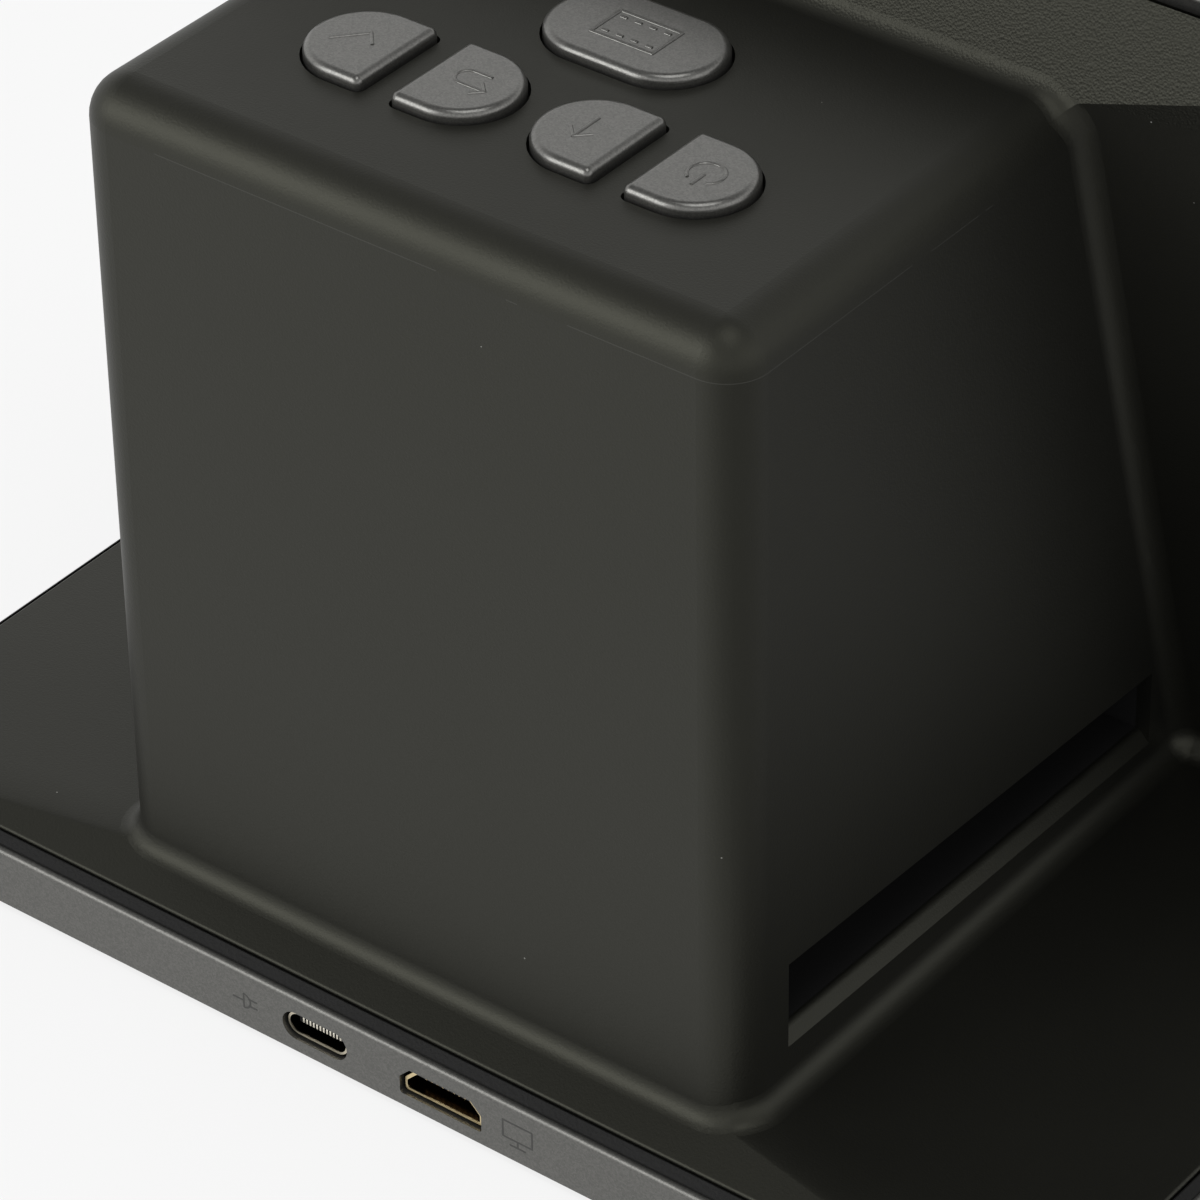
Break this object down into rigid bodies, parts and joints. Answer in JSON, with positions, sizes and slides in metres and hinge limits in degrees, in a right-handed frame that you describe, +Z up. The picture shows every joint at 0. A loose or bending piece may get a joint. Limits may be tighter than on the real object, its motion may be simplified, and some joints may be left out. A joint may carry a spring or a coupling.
{
  "type": "film negative scanner",
  "caption": "Desktop film scanner with a black tower on a flat base, a film slot through the tower, press buttons on top and a tilting display in front.",
  "frame": {"origin": "middle of the footprint, on the plane the rubber feet rest on", "axes": "+X to the right and -Y towards a person in front of the display, +Y to the rear edge with the sockets, +Z up"},
  "size_m": [0.18, 0.13, 0.1334],
  "materials": {
    "cover_black": "satin",
    "tray_black": "satin",
    "band_grey": "satin",
    "button_grey": "satin",
    "frame_grey": "satin",
    "rubber_black": "matte",
    "screw_steel": "satin",
    "hinge_steel": "satin",
    "board_green": "semi-gloss",
    "socket_steel": "satin",
    "socket_brass": "satin",
    "tongue_black": "matte",
    "channel_black": "matte",
    "diffuser_white": "translucent",
    "clear_glass": "polished",
    "led_yellow": "gloss",
    "optic_black": "matte",
    "sensor_dark": "gloss",
    "switch_black": "matte",
    "plunger_cream": "matte",
    "screen_glass": "polished",
    "panel_dark": "gloss"
  },
  "bodies": {
    "scanner": {"top_cover": "cover_black", "lower_tray": "tray_black", "rim_band": "band_grey", "foot_front_left": "rubber_black", "foot_front_right": "rubber_black", "foot_rear_left": "rubber_black", "foot_rear_right": "rubber_black", "case_screws": "screw_steel", "main_board": "board_green", "card_board": "board_green", "base_board_screws": "screw_steel", "usb_c_shell": "socket_steel", "usb_c_tongue": "tongue_black", "hdmi_shell": "socket_brass", "hdmi_tongue": "tongue_black", "card_socket": "socket_steel", "channel_floor": "channel_black", "channel_roof": "channel_black", "diffuser": "diffuser_white", "dust_glass": "clear_glass", "light_box": "diffuser_white", "backlight_board": "board_green", "backlight_leds": "led_yellow", "light_shroud": "optic_black", "lens_holder": "optic_black", "lens_barrel": "optic_black", "front_lens": "clear_glass", "rear_lens": "clear_glass", "sensor_board": "board_green", "image_sensor": "sensor_dark", "key_switches": "switch_black", "button_board": "board_green", "button_board_screws": "screw_steel", "front_cover": "cover_black", "front_cover_screws": "screw_steel", "display_bumpers": "rubber_black", "hinge_fixed_leaf_left": "hinge_steel", "hinge_fixed_leaf_right": "hinge_steel", "housing_hinge_screws": "screw_steel"},
    "display": {"display_frame": "frame_grey", "display_glass": "screen_glass", "lcd_panel": "panel_dark", "display_back_cover": "cover_black", "driver_board": "board_green", "hinge_moving_leaf_left": "hinge_steel", "hinge_moving_leaf_right": "hinge_steel", "hinge_pin_left": "hinge_steel", "hinge_pin_right": "hinge_steel", "display_hinge_screws": "screw_steel"},
    "key_ok": {"button_ok": "button_grey", "plunger_ok": "plunger_cream"},
    "key_back": {"button_back": "button_grey", "plunger_back": "plunger_cream"},
    "key_arrow": {"button_arrow": "button_grey", "plunger_arrow": "plunger_cream"},
    "key_power": {"button_power": "button_grey", "plunger_power": "plunger_cream"},
    "key_mode": {"button_mode": "button_grey", "plunger_mode": "plunger_cream"}
  },
  "joints": [
    {"name": "display_tilt", "type": "hinge", "parent": "scanner", "child": "display", "pos_m": [0, -0.01044, 0.1298], "axis": [-1, 0, 0], "range_deg": [0, 30]},
    {"name": "press_ok", "type": "slide", "parent": "scanner", "child": "key_ok", "axis": [0, 0, -1], "range_m": [0, 0.0006], "stiffness_N_per_m": 2500, "springref_m": -0.0003},
    {"name": "press_back", "type": "slide", "parent": "scanner", "child": "key_back", "axis": [0, 0, -1], "range_m": [0, 0.0006], "stiffness_N_per_m": 2500, "springref_m": -0.0003},
    {"name": "press_arrow", "type": "slide", "parent": "scanner", "child": "key_arrow", "axis": [0, 0, -1], "range_m": [0, 0.0006], "stiffness_N_per_m": 2500, "springref_m": -0.0003},
    {"name": "press_power", "type": "slide", "parent": "scanner", "child": "key_power", "axis": [0, 0, -1], "range_m": [0, 0.0006], "stiffness_N_per_m": 2500, "springref_m": -0.0003},
    {"name": "press_mode", "type": "slide", "parent": "scanner", "child": "key_mode", "axis": [0, 0, -1], "range_m": [0, 0.0006], "stiffness_N_per_m": 2500, "springref_m": -0.0003}
  ]
}
